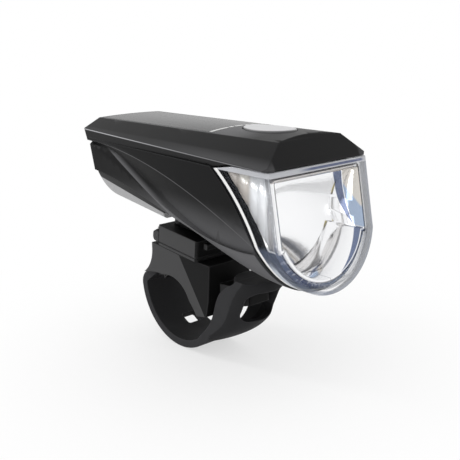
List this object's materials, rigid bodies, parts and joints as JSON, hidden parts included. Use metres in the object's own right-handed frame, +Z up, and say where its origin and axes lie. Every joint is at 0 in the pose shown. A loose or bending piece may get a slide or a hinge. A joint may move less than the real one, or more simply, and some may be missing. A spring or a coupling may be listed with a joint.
{
  "type": "bicycle headlight",
  "caption": "Front lamp with a clear wrap-round lens, top button and slide rail, on a swivelling block and saddle that a rubber strap holds on a handlebar.",
  "frame": {"origin": "middle of the handlebar seat's axis", "axes": "+X the way the beam points, +Y along the handlebar, +Z up"},
  "size_m": [0.1042, 0.0446, 0.0822],
  "materials": {
    "black_shell": "fine matt moulded black",
    "gloss_black": "polished black",
    "grey_plastic": "light grey moulded",
    "button_grey": "soft light grey",
    "white_window": "milky light guide",
    "clear_lens": "clear polycarbonate",
    "seal_rubber": "soft black",
    "strap_rubber": "matt black rubber",
    "chrome_bowl": "vacuum metallised",
    "led_face": "phosphor",
    "board_green": "solder mask",
    "board_white": "white solder mask",
    "sink_metal": "pressed",
    "cell_wrap": "foil wrap",
    "steel": "zinc plated"
  },
  "bodies": {
    "bracket": {"clamp_saddle": "black_shell", "rubber_strap": "strap_rubber", "swivel_screw": "steel", "swivel_washer": "steel"},
    "swivel_block": {"slide_block": "black_shell", "lever_pin": "steel"},
    "release_lever": {"release_lever": "black_shell"},
    "lamp": {"side_shell": "black_shell", "top_cover": "black_shell", "top_plate": "gloss_black", "indicator_windows": "white_window", "lens": "clear_lens", "lens_gasket": "seal_rubber", "reflector": "chrome_bowl", "led_emitter": "led_face", "led_board": "board_white", "heat_sink": "sink_metal", "battery_pack": "cell_wrap", "circuit_board": "board_green", "button_switch": "steel", "charging_socket": "steel", "belly_pan": "grey_plastic", "mount_rail": "black_shell", "rail_screws": "steel", "case_screws": "steel"},
    "button": {"button": "button_grey"},
    "port_cover": {"port_cover": "seal_rubber"}
  },
  "joints": [
    {"name": "block_swivel", "type": "hinge", "parent": "bracket", "child": "swivel_block", "pos_m": [0.00719, 0, 0.02049], "axis": [0.0958, 0, 0.9954], "range_deg": [-12, 12]},
    {"name": "lamp_slide", "type": "slide", "parent": "swivel_block", "child": "lamp", "axis": [0.9954, 0, -0.0958], "range_m": [0, 0.026]},
    {"name": "lever_press", "type": "hinge", "parent": "swivel_block", "child": "release_lever", "pos_m": [0.00003, 0, 0.02334], "axis": [0, -1, 0], "range_deg": [0, 3.8], "stiffness_Nm_per_rad": 0.5, "springref_deg": -1.72},
    {"name": "button_press", "type": "slide", "parent": "lamp", "child": "button", "axis": [0, 0, -1], "range_m": [0, 0.0008], "stiffness_N_per_m": 1500, "springref_m": -0.0003},
    {"name": "port_cover_hinge", "type": "hinge", "parent": "lamp", "child": "port_cover", "pos_m": [-0.03482, 0, 0.04859], "axis": [0, -1, 0], "range_deg": [0, 110]}
  ]
}
